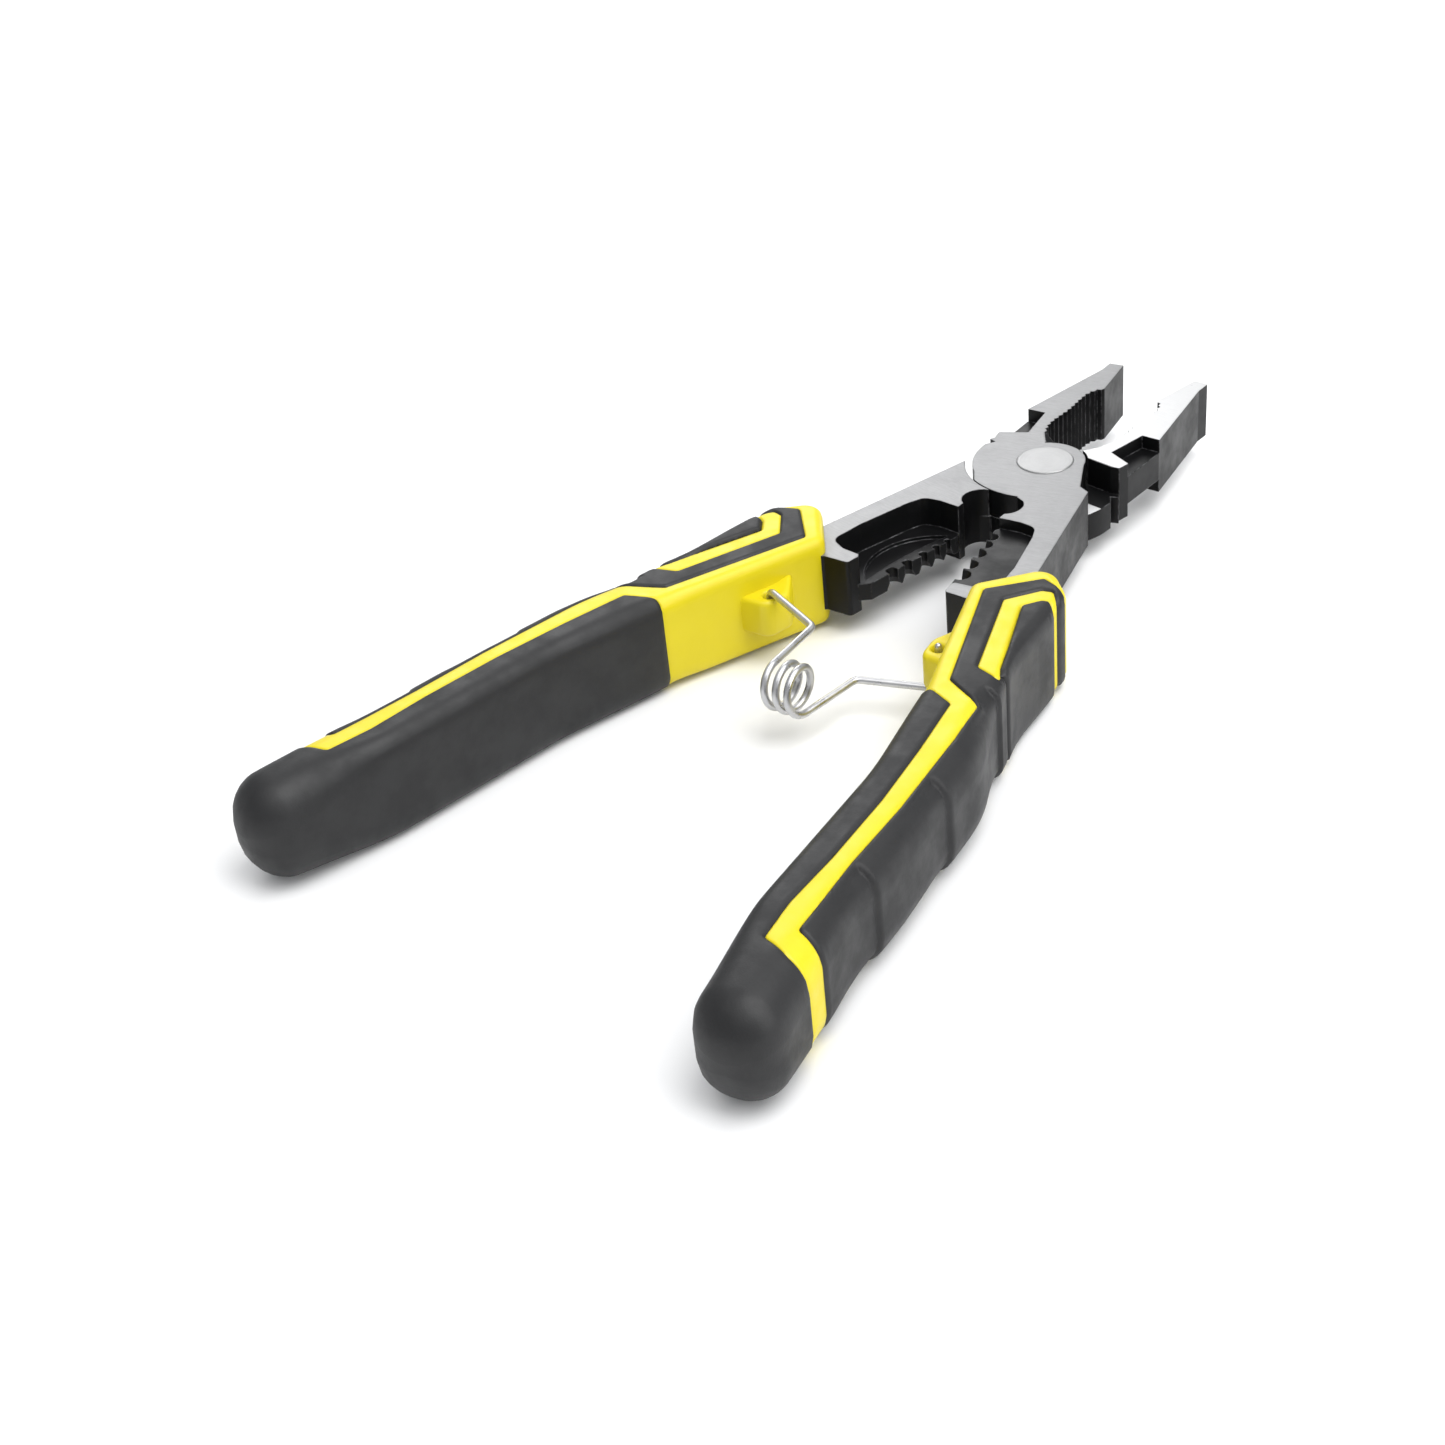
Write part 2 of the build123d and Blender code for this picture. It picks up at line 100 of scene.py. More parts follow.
FINGER_GROOVES = (-91.0, -120.0, -146.0)  # where each finger recess starts, along the outer side
FINGER_RIDGES = (-113.0, -140.0, -162.0)  # where it has risen again
FINGER_DEPTH = 0.75
FINGER_FADE = (0.2, 1.6)  # the recesses grow in over this distance from the sleeve's edge
FINGER_LEAN = (0.05, 0.6)  # and over this share of the turn from the top face to the wall
GROOVE_DEPTH = 0.35
GROOVE_WIDTH = 0.35
SOFT_PROUD = 0.28  # the soft skins stand this far above the hard core
HEAD_DROP = 0.45  # the head is this much lower, so that the pad stands proud within the grip's thickness
SEAM_DEPTH = 0.16
PAD_PROUD = 0.35
PAD_DOME = 0.1
PAD_DOME_REACH = (0.5, 8.0)
SKIN_THICKNESS = 1.4
FILLET_RINGS = 9
POINT_GAP = 0.75
TRAIL_OFFSETS = (-0.6, -0.3, 0.3, 0.6, 1.1, 1.7, -1.1, -1.7)  # rows of points beside a colour edge
GROOVE_OFFSETS = (-0.75, -0.5, -0.25, 0.0, 0.25, 0.5)  # outline points beside a finger groove
CUT_OFFSETS = (-0.6, -0.3, 0.0, 0.3)  # rows of points across the top face beside a finger groove
CUT_GAP = 0.5

BUTT_START_Y = -164.0  # from here the butt draws in, over BUTT_LENGTH
BUTT_LENGTH = 22.5
BUTT_DROP = 2.2
HEAD_Y = (-101.0, -91.0)  # the head's lower level ends between these
HEAD_EDGE = 2.0  # radius of the head's edges
FINGER_EDGE = 1.2  # added to it behind the head
FINGER_OUTER_EDGE = 2.6  # added to both on the outer side
FINGER_EDGE_Y = (-84.0, -100.0)
BUTT_EDGE = 7.0  # radius of the butt's edges
BUTT_EDGE_Y = (-158.0, -180.0)
RISE_WIDTH = 0.55  # the soft skins reach their full height this far inside their edge
SEAM_WIDTH = 0.35
PAD_EDGE = 1.7
PAD_SEAM_DEPTH = 0.25
PAD_SEAM_WIDTH = 0.5
WALL_LEVELS = 12

BOSS_HALF = 4.0
BOSS_EDGE = 1.1
BOSS_FAIRING_RISE = 1.5
BOSS_FAIRING_Y = (-71.5, -63.0)
BOSS_HOLE_CHAMFER = 0.3
BOSS_HOLE_CHAMFER_WIDTH = 0.4
BOSS_HOLE_SIDES = 24
BOSS_CORNERS = [((13.0, -61.0), 1.0), ((4.2, -70.2), 3.0), ((4.2, -76.4), 2.6), ((13.0, -78.4), 1.0)]
BOSS_HOLE = (6.8, -73.2)
BOSS_HOLE_RADIUS = 1.45

# ---- spring ----
WIRE_RADIUS = 0.75
COIL_RADIUS = 4.5
COIL_PITCH = 2.7
COIL_Y = -91.0
LEG_BEND_Y = -77.0
WIRE_BEND_RADIUS = 1.6
WIRE_BEND_STEPS = 12
WIRE_SIDES = 20
WIRE_OVER_BOSS = 0.35
WIRE_END_PAST_BOSS = 1.0
SHARP_ANGLE = math.radians(55.0)


def smoothstep(low, high, value):
    """0 at low, 1 at high, eased between; it also runs downwards when low is above high."""
    t = np.clip((value - low) / (high - low), 0.0, 1.0)
    return t * t * (3 - 2 * t)


def to_row_frame(points, side):
    """Closed-frame millimetres of one half to row-frame metres at rest."""
    c, s = math.cos(HALF_OPENING), math.sin(HALF_OPENING)
    x = points[:, 0] * c - points[:, 1] * s
    y = points[:, 0] * s + points[:, 1] * c
    handed = 1.0 if side == "right" else -1.0
    return np.stack([x * handed, y, points[:, 2] * handed], 1) * MM + PIVOT


def rounded(corners):
    """Dense points of a closed outline whose corners are rounded by arcs."""
    points = []
    count = len(corners)
    for i, (corner, radius) in enumerate(corners):
        here = np.array(corner, float)
        before = np.array(corners[i - 1][0], float) - here
        after = np.array(corners[(i + 1) % count][0], float) - here
        room = min(np.linalg.norm(before), np.linalg.norm(after)) / 2
        before /= np.linalg.norm(before)
        after /= np.linalg.norm(after)
        half_angle = math.acos(np.clip(before @ after, -1, 1)) / 2
        reach = min(radius / math.tan(half_angle), room)
        if reach < 1e-3:
            points.append(here)
            continue
        radius = reach * math.tan(half_angle)
        middle = (before + after) / np.linalg.norm(before + after)
        centre = here + middle * radius / math.sin(half_angle)
        start = here + before * reach - centre
        end = here + after * reach - centre
        turn = math.atan2(start[0] * end[1] - start[1] * end[0], start @ end)
        steps = max(2, int(abs(turn) * radius / 0.3))
        for k in range(steps + 1):
            a = turn * k / steps
            points.append(centre + np.array([
                start[0] * math.cos(a) - start[1] * math.sin(a),
                start[0] * math.sin(a) + start[1] * math.cos(a),
            ]))
    return np.array(points)


def spaced(loop, gap, extra=()):
    """The same closed outline with a point about every gap, and at each extra distance along it."""
    line = np.vstack([loop, loop[:1]])
    along = np.concatenate([[0], np.cumsum(np.linalg.norm(np.diff(line, axis=0), axis=1))])
    count = max(2, int(round(along[-1] / gap)))
    at = np.linspace(0, along[-1], count + 1)
    if len(extra):
        keep = np.abs(at[:, None] - np.asarray(extra)[None]).min(1) > 0.18
        at = np.sort(np.concatenate([at[keep], extra]))
    at = at[at < along[-1] - 0.1]
    return np.stack([np.interp(at, along, line[:, 0]), np.interp(at, along, line[:, 1])], 1)


def inside(points, loop):
    """Which points lie within a closed outline."""
    x, y = points[:, 0], points[:, 1]
    result = np.zeros(len(points), bool)
    ax, ay = loop[-1]
    for bx, by in loop:
        if ay != by:
            crosses = ((ay > y) != (by > y)) & (x < (bx - ax) * (y - ay) / (by - ay) + ax)
            result ^= crosses
        ax, ay = bx, by
    return result


def nearest(points, loop):
    """Distance to a closed outline, the nearest place on it and the direction there, for each point."""
    a = np.asarray(loop, float)
    d = np.roll(a, -1, axis=0) - a
    best = np.full(len(points), 1e9)
    place = np.zeros((len(points), 2))
    heading = np.zeros((len(points), 2))
    for start, step in zip(a, d):
        size = step @ step
        if size < 1e-12:
            continue
        t = np.clip(((points - start) @ step) / size, 0, 1)
        spot = start + t[:, None] * step
        gap = np.linalg.norm(points - spot, axis=1)
        closer = gap < best
        best[closer] = gap[closer]
        place[closer] = spot[closer]
        heading[closer] = step / math.sqrt(size)
    return best, place, heading


def thinned(groups):
    """Points of all groups, leaving out any that comes closer to an earlier one than its group's gap."""
    cell, kept, taken = 0.6, [], {}
    for points, gap in groups:
        for p in points:
            i, j = int(p[0] // cell), int(p[1] // cell)
            near = (taken.get((i + u, j + v), ()) for u in (-1, 0, 1) for v in (-1, 0, 1))
            if any((p[0] - q[0]) ** 2 + (p[1] - q[1]) ** 2 < gap * gap for c in near for q in c):
                continue
            taken.setdefault((i, j), []).append(p)
            kept.append(p)
    return kept


def triangulated(lines, groups, keep):
    """A flat triangle mesh that has every line as edges and the groups' points inside it."""
    points, edges = [], []
    for line, closed in lines:
        first = len(points)
        points.extend(Vector((float(x), float(y))) for x, y in line)
        edges.extend((first + k, first + k + 1) for k in range(len(line) - 1))
        if closed:
            edges.append((len(points) - 1, first))
    fixed = [(p.x, p.y) for p in points]
    loose = thinned([(fixed, 0.0)] + groups)[len(fixed):]
    points.extend(Vector((float(x), float(y))) for x, y in loose)
    flat, _, faces, _, _, _ = delaunay_2d_cdt(points, edges, [], 0, 1e-5)
    flat = np.array([(v.x, v.y) for v in flat])
    faces = np.array([f for f in faces if len(f) == 3])
    faces = faces[keep(flat[faces].mean(1))]
    u, v = flat[faces[:, 1]] - flat[faces[:, 0]], flat[faces[:, 2]] - flat[faces[:, 0]]
    turned = u[:, 0] * v[:, 1] - u[:, 1] * v[:, 0] < 0
    faces[turned] = faces[turned][:, ::-1]
    return flat, faces


def rim_edges(faces):
    """The edges that only one triangle has, each in that triangle's direction."""
    pairs = np.concatenate([faces[:, [0, 1]], faces[:, [1, 2]], faces[:, [2, 0]]])
    owner = {(int(a), int(b)) for a, b in pairs}
    return [(a, b) for a, b in owner if (b, a) not in owner]


def edge_radius(place):
    """How round the grip's edge is: tight at the head, fuller at the fingers, fullest at the butt."""
    x, y = place[:, 0], place[:, 1]
    outer = smoothstep(GRIP_MIDDLE_X - 2, GRIP_MIDDLE_X + 2, x)
    fingers = smoothstep(*FINGER_EDGE_Y, y)
    radius = HEAD_EDGE + fingers * (FINGER_EDGE + FINGER_OUTER_EDGE * outer)
    butt = smoothstep(*BUTT_EDGE_Y, y)
    return radius * (1 - butt) + BUTT_EDGE * butt


def half_height(y):
    """Half of the core's thickness along its length: lower at the head, with the butt drawn in."""
    t = np.clip((BUTT_START_Y - y) / BUTT_LENGTH, 0, 1)
    head = HEAD_DROP * smoothstep(*HEAD_Y, y)
    return GRIP_HALF - SOFT_PROUD - head - BUTT_DROP * (1 - np.sqrt(np.clip(1 - t**3, 0, 1)))


def finger_recess(y):
    """Depth of the finger recesses along the outer side, 0 to 1."""
    depth = np.zeros_like(y)
    for groove, ridge in zip(FINGER_GROOVES, FINGER_RIDGES):
        depth += smoothstep(groove + 0.1, groove - 0.5, y) * smoothstep(ridge, groove - 3.0, y)
    return depth


def finger_groove(y):
    """Depth of the thin groove that ends each finger recess, 0 to 1. The first recess has none."""
    depth = np.zeros_like(y)
    for groove in FINGER_GROOVES[1:]:
        depth += np.exp(-(((y - groove) / GROOVE_WIDTH) ** 2))
    return depth


GRIP_OUTLINE = rounded(GRIP_CORNERS)
REGION_LOOPS = {
    name: rounded([(p, 0.0 if p in PAD_REAR else COLOUR_CORNER_RADIUS) for p in loop])
    for name, loop in REGIONS.items()
}


def outline_extras():
    """Distances along the outline where a finger groove crosses the outer side."""
    line = np.vstack([GRIP_OUTLINE, GRIP_OUTLINE[:1]])
    along = np.concatenate([[0], np.cumsum(np.linalg.norm(np.diff(line, axis=0), axis=1))])
    outer = line[:, 0] > FINGERS_X
    found = []
    for groove in FINGER_GROOVES:
        for shift in GROOVE_OFFSETS:
            y = groove + shift
            for k in np.nonzero((line[:-1, 1] >= y) & (line[1:, 1] < y) & outer[:-1])[0]:
                t = (line[k, 1] - y) / (line[k, 1] - line[k + 1, 1])
                found.append(along[k] + t * (along[k + 1] - along[k]))
    return sorted(found)


def relief(plan):
    """Base height, direction out of the surface and displacement of each plan point of the grip."""
    gap, place, heading = nearest(plan, GRIP_OUTLINE)
    outward = np.stack([-heading[:, 1], heading[:, 0]], 1)
    radius = edge_radius(place)
    lean = np.clip((radius - gap) / radius, 0, 1)
    up = np.sqrt(np.clip(1 - lean**2, 0, 1))
    height = half_height(plan[:, 1]) - radius * (1 - up)
    shift = np.zeros(len(plan))
    depth_in = {}
    for name, loop in REGION_LOOPS.items():
        distance, _, _ = nearest(plan, loop)
        within = inside(plan, loop)
        depth_in[name] = np.where(within, distance, -distance)
    soft = np.max(np.stack(list(depth_in.values())), 0)
    shift += SOFT_PROUD * smoothstep(0.0, RISE_WIDTH, soft)
    shift -= SEAM_DEPTH * (1 - smoothstep(0.0, SEAM_WIDTH, np.abs(soft)))
    pad = depth_in["thumb_pad"]
    rise = np.clip(pad / PAD_EDGE, 0, 1)
    shift += PAD_PROUD * np.sqrt(np.clip(1 - (1 - rise) ** 2, 0, 1))
    shift += PAD_DOME * smoothstep(*PAD_DOME_REACH, pad)
    shift -= PAD_SEAM_DEPTH * (1 - smoothstep(0.0, PAD_SEAM_WIDTH, np.abs(pad)))
    sleeve = smoothstep(*FINGER_FADE, depth_in["outer_sleeve"])
    outer_side = smoothstep(*FINGER_LEAN, lean * (outward[:, 0] > 0))
    shift -= sleeve * outer_side * FINGER_DEPTH * finger_recess(plan[:, 1])
    shift -= sleeve * outer_side * GROOVE_DEPTH * finger_groove(plan[:, 1])
    return height, outward, lean, up, shift


def grip_surface():
    """The whole skin of one grip: points, faces and the region each face belongs to."""
    outline = spaced(GRIP_OUTLINE, POINT_GAP, extra=outline_extras())
    _, place, heading = nearest(outline + 1e-6, GRIP_OUTLINE)
    inward = np.stack([heading[:, 1], -heading[:, 0]], 1)
    radius = edge_radius(place)
    rings = []
    for k in range(1, FILLET_RINGS + 1):
        angle = math.pi / 2 * k / FILLET_RINGS
        reach = radius * (1 - math.cos(angle))
        ring = outline + inward * reach[:, None]
        gap, _, _ = nearest(ring, GRIP_OUTLINE)
        rings.append(ring[(gap > reach - 0.04) & inside(ring, GRIP_OUTLINE)])
    lines, trails = [(outline, True)], []
    for loop in REGION_LOOPS.values():
        dense = spaced(loop, 0.5)
        gap, _, _ = nearest(dense, GRIP_OUTLINE)
        near = inside(dense, GRIP_OUTLINE) | (gap < 0.9)
        start = int(np.argmin(near))
        dense, near = np.roll(dense, -start, axis=0), np.roll(near, -start)
        run = []
        for p, ok in zip(list(dense) + [None], list(near) + [False]):
            if ok:
                run.append(p)
            elif run:
                if len(run) > 1:
                    lines.append((np.array(run), False))
                run = []
        _, _, heading = nearest(dense, loop)
        across = np.stack([-heading[:, 1], heading[:, 0]], 1)
        for offset in TRAIL_OFFSETS:
            trail = dense + across * offset
            gap, _, _ = nearest(trail, GRIP_OUTLINE)
            trails.append(trail[inside(trail, GRIP_OUTLINE) & (gap > 0.2)])
    low, high = GRIP_OUTLINE.min(0), GRIP_OUTLINE.max(0)
    gx, gy = np.meshgrid(np.arange(low[0], high[0], POINT_GAP), np.arange(low[1], high[1], POINT_GAP))
    grid = np.stack([gx.ravel(), gy.ravel()], 1)
    grid[:, 0] += (np.round(grid[:, 1] / POINT_GAP) % 2) * POINT_GAP / 2
    gap, _, _ = nearest(grid, GRIP_OUTLINE)
    grid = grid[inside(grid, GRIP_OUTLINE) & (gap > 0.5)]
    across = np.arange(FINGERS_X, high[0], CUT_GAP)
    cuts = np.array([(x, g + s) for g in FINGER_GROOVES for x in across for s in CUT_OFFSETS])
    cut_gap, _, _ = nearest(cuts, GRIP_OUTLINE)
    cuts = cuts[inside(cuts, GRIP_OUTLINE) & (cut_gap > 0.15)]
    groups = [(np.vstack(trails), 0.22), (cuts, 0.2)]
    groups += [(ring, 0.16) for ring in rings]
    groups.append((grid, 0.5))
    plan, faces = triangulated(lines, groups, lambda centres: inside(centres, GRIP_OUTLINE))
    height, outward, lean, up, shift = relief(plan)
    count = len(plan)
    xy = plan + outward * (lean * shift)[:, None]
    z = height + up * shift
    points = [np.column_stack([xy, z]), np.column_stack([xy, -z])]
    centres = plan[faces].mean(1)
    rim = rim_edges(faces)
    rim_points = sorted({a for edge in rim for a in edge})
    column = {p: k for k, p in enumerate(rim_points)}
    levels = WALL_LEVELS
    edge_z = z[rim_points]
    for k in range(1, levels):
        share = 1 - 2 * k / levels
        points.append(np.column_stack([xy[rim_points], edge_z * share]))
    first = 2 * count

    def at(p, level):
        if level == 0:
            return p
        if level == levels:
            return count + p
        return first + (level - 1) * len(rim_points) + column[p]

    walls, wall_centres = [], []
    for a, b in rim:
        middle = (plan[a] + plan[b]) / 2
        for level in range(levels):
            walls.append((at(b, level), at(a, level), at(a, level + 1), at(b, level + 1)))
            wall_centres.append(middle)
    all_faces = [tuple(f) for f in faces] + [tuple(f[::-1] + count) for f in faces] + walls
    wall_centres = np.array(wall_centres)
    _, wall_place, wall_heading = nearest(wall_centres, GRIP_OUTLINE)
    wall_centres = wall_place + np.stack([wall_heading[:, 1], -wall_heading[:, 0]], 1) * 0.02
    centres = np.vstack([centres, centres, wall_centres])
    label = np.full(len(all_faces), "grip_core", dtype=object)
    for name, loop in REGION_LOOPS.items():
        label[inside(centres, loop) & (label == "grip_core")] = name
    # no thread of core is left between the pad and the sleeve where both run over the edge
    closeness = [nearest(centres, REGION_LOOPS[name])[0] for name in ("thumb_pad", "outer_sleeve")]
    between = (np.maximum(*closeness) < CLOSE_EDGES) & (centres[:, 0] > PAD_REAR[0][0])
    between &= centres[:, 1] < CLOSE_EDGES_Y
    label[between & (label == "grip_core")] = "outer_sleeve"
    return np.vstack(points), all_faces, label


def vertex_normals(points, faces):
    """Unit normals at the points, each the mean of its faces' normals."""
    normals = np.zeros_like(points)
    for face in faces:
        a, b, c = points[face[0]], points[face[1]], points[face[-1]]
        n = np.cross(b - a, c - a)
        for k in face:
            normals[k] += n
    return normals / np.maximum(np.linalg.norm(normals, axis=1), 1e-12)[:, None]


def closed_skin(points, normals, faces, thickness):
    """A solid skin: the faces, the same faces moved inwards, and the walls that join their rims."""
    used = sorted({k for face in faces for k in face})
    index = {k: i for i, k in enumerate(used)}
    outer = points[used]
    inner = outer - normals[used] * thickness
    count = len(used)
    made = [tuple(index[k] for k in face) for face in faces]
    pairs = {(face[k], face[(k + 1) % len(face)]) for face in made for k in range(len(face))}
    rim = [(a, b) for a, b in pairs if (b, a) not in pairs]
    made += [tuple(k + count for k in reversed(face)) for face in made]
    made += [(b, a, a + count, b + count) for a, b in sorted(rim)]
    return np.vstack([outer, inner]), made


def hole_ring(radius):
    """Points of a circle round the boss hole."""
    angles = np.linspace(0, 2 * math.pi, BOSS_HOLE_SIDES, endpoint=False)
    return np.array([
        (BOSS_HOLE[0] + radius * math.cos(a), BOSS_HOLE[1] + radius * math.sin(a)) for a in angles
    ])


def boss():
    """The spring boss: a blunt block with a hole for the wire and a fairing that rises to the head."""
    outline = spaced(rounded(BOSS_CORNERS), 0.5)
    hole = hole_ring(BOSS_HOLE_RADIUS)
    gx, gy = np.meshgrid(np.arange(4, 13, 0.5), np.arange(-79, -61, 0.5))
    grid = np.stack([gx.ravel(), gy.ravel()], 1)
    gap, _, _ = nearest(grid, outline)
    hole_gap, _, _ = nearest(grid, hole)
    grid = grid[inside(grid, outline) & ~inside(grid, hole) & (gap > 0.3) & (hole_gap > 0.25)]
    turned = np.vstack([hole_ring(BOSS_HOLE_RADIUS + 0.2), hole_ring(BOSS_HOLE_RADIUS + 0.45)])
    _, place, heading = nearest(outline + 1e-6, outline)
    inward = np.stack([heading[:, 1], -heading[:, 0]], 1)
    middle = outline.mean(0)
    inward *= np.sign(((middle - outline) * inward).sum(1))[:, None]
    rings = [outline + inward * BOSS_EDGE * (1 - math.cos(math.pi / 2 * k / 5)) for k in range(1, 6)]
    rings = [
        ring[inside(ring, outline) & (nearest(ring, hole)[0] > 0.3) & ~inside(ring, hole)]
        for ring in rings
    ]
    turned = turned[inside(turned, outline)]
    plan, faces = triangulated(
        [(outline, True), (hole, True)],
        [(turned, 0.12)] + [(ring, 0.15) for ring in rings] + [(grid, 0.35)],
        lambda centres: inside(centres, outline) & ~inside(centres, hole),
    )
    gap, _, _ = nearest(plan, outline)
    hole_gap, _, _ = nearest(plan, hole)
    lean = np.clip((BOSS_EDGE - gap) / BOSS_EDGE, 0, 1)
    z = BOSS_HALF + BOSS_FAIRING_RISE * smoothstep(*BOSS_FAIRING_Y, plan[:, 1])
    z -= BOSS_EDGE * (1 - np.sqrt(1 - lean**2))
    z -= BOSS_HOLE_CHAMFER * np.clip(1 - hole_gap / BOSS_HOLE_CHAMFER_WIDTH, 0, 1)
    count = len(plan)
    points = [np.column_stack([plan, z]), np.column_stack([plan, -z])]
    rim = rim_edges(faces)
    made = [tuple(f) for f in faces] + [tuple(f[::-1] + count) for f in faces]
    made += [(b, a, a + count, b + count) for a, b in sorted(rim)]
    return np.vstack(points), made


def new_mesh(name, points, faces, material):
    mesh = bpy.data.meshes.new(name)
    mesh.from_pydata([tuple(map(float, p)) for p in points], [], [tuple(int(k) for k in f) for f in faces])
    mesh.validate()
    mesh.shade_smooth()
    mesh.set_sharp_from_angle(angle=SHARP_ANGLE)
    mesh.materials.append(material)
    obj = bpy.data.objects.new(name, mesh)
    bpy.context.scene.collection.objects.link(obj)
    return obj


# ---------------------------------------------------------------- materials
class Shader:
    """A node material with one Principled surface, and short calls to add nodes to it."""

    def __init__(self, name):
        self.material = bpy.data.materials.new(name)
        self.material.use_nodes = True
        self.tree = self.material.node_tree
        self.surface = self.tree.nodes["Principled BSDF"]
        self.place = self.add("ShaderNodeTexCoord").outputs["Object"]

    def add(self, kind, inputs=None, **settings):
        node = self.tree.nodes.new(kind)
        for key, value in settings.items():
            setattr(node, key, value)
        for key, value in (inputs or {}).items():
            self.feed(node.inputs[key], value)
        return node

    def feed(self, socket, value):
        if isinstance(value, bpy.types.NodeSocket):
            self.tree.links.new(value, socket)
        else:
            socket.default_value = value

    def math(self, operation, a, b=0.0, c=0.0):
        node = self.add("ShaderNodeMath", operation=operation)
        for socket, value in zip(node.inputs, (a, b, c)):
            self.feed(socket, value)
        return node.outputs[0]

    def ramp(self, value, low, high, out_low=0.0, out_high=1.0):
        node = self.add("ShaderNodeMapRange", interpolation_type="SMOOTHSTEP")
        for key, number in zip(("Value", "From Min", "From Max", "To Min", "To Max"),
                               (value, low, high, out_low, out_high)):
            self.feed(node.inputs[key], number)
        return node.outputs["Result"]

    def noise(self, scale, detail=2.0, roughness=0.5, stretch=None, vector=None):
        place = self.place if vector is None else vector
        if stretch is not None:
            place = self.add("ShaderNodeMapping", {"Vector": place, "Scale": stretch}).outputs[0]
        made = self.add("ShaderNodeTexNoise",
                        {"Vector": place, "Scale": scale, "Detail": detail, "Roughness": roughness})
        return made.outputs["Fac"]

    def mix(self, factor, a, b):
        node = self.add("ShaderNodeMix", data_type="RGBA")
        self.feed(node.inputs[0], factor)
        self.feed(node.inputs[6], a)
        self.feed(node.inputs[7], b)
        return node.outputs[2]

    def blend(self, factor, a, b):
        node = self.add("ShaderNodeMix", data_type="FLOAT")
        self.feed(node.inputs[0], factor)
        self.feed(node.inputs[2], a)
        self.feed(node.inputs[3], b)
        return node.outputs[0]

    def bump(self, height, strength, distance, normal=None):
        inputs = {"Height": height, "Strength": strength, "Distance": distance}
        if normal is not None:
            inputs["Normal"] = normal
        return self.add("ShaderNodeBump", inputs).outputs[0]

    def finish(self, **inputs):
        for key, value in inputs.items():
            self.feed(self.surface.inputs[key.replace("_", " ")], value)
        return self.material


def grey(value):
    return (value, value, value, 1.0)


def soft_rubber():
    s = Shader("soft_rubber")
    grain = s.noise(2600.0, 3.0, 0.6)
    mottled = s.noise(90.0, 4.0, 0.6)
    scuffs = s.noise(55.0, 6.0, 0.75, stretch=(1.0, 0.35, 1.0))
    worn = s.ramp(scuffs, 0.60, 0.78)
    colour = s.mix(mottled, (0.005, 0.005, 0.0055, 1.0), (0.011, 0.011, 0.012, 1.0))
    colour = s.mix(s.math("MULTIPLY", worn, 0.35), colour, (0.045, 0.044, 0.047, 1.0))
    roughness = s.ramp(s.noise(140.0, 4.0, 0.6), 0.3, 0.7, 0.46, 0.62)
    roughness = s.math("SUBTRACT", roughness, s.math("MULTIPLY", worn, 0.06))
    fine = s.bump(grain, 0.35, 0.00006)
    normal = s.bump(s.noise(420.0, 2.0), 0.12, 0.0001, fine)
    return s.finish(Base_Color=colour, Roughness=roughness, Normal=normal, Specular_IOR_Level=0.5)


def hard_plastic():
    s = Shader("hard_plastic")
    cloudy = s.noise(70.0, 4.0, 0.6)
    colour = s.mix(cloudy, (0.66, 0.54, 0.004, 1.0), (0.74, 0.62, 0.008, 1.0))
    specks = s.ramp(s.noise(900.0, 3.0, 0.7), 0.70, 0.80)
    colour = s.mix(s.math("MULTIPLY", specks, 0.16), colour, (0.35, 0.27, 0.02, 1.0))
    roughness = s.ramp(s.noise(260.0, 4.0, 0.6), 0.3, 0.7, 0.34, 0.50)
    peel = s.bump(s.noise(1400.0, 2.0), 0.10, 0.00005)
    normal = s.bump(s.noise(160.0, 2.0), 0.10, 0.0002, peel)
    return s.finish(Base_Color=colour, Roughness=roughness, Normal=normal, Specular_IOR_Level=0.45)


def half_frame(s, side):
    """The shaded point in one half's closed frame, in metres."""
    flip = (1.0, 1.0, 1.0) if side == "right" else (-1.0, 1.0, -1.0)
    turn = Euler((0.0, 0.0, -HALF_OPENING))
    moved = turn.to_matrix() @ Vector([a * b for a, b in zip(flip, PIVOT)])
    inputs = {"Vector": s.place, "Location": -moved, "Rotation": turn, "Scale": flip}
    place = s.add("ShaderNodeMapping", inputs).outputs[0]
    parts = s.add("ShaderNodeSeparateXYZ", {0: place})
    return place, parts.outputs[0], parts.outputs[1], parts.outputs[2]


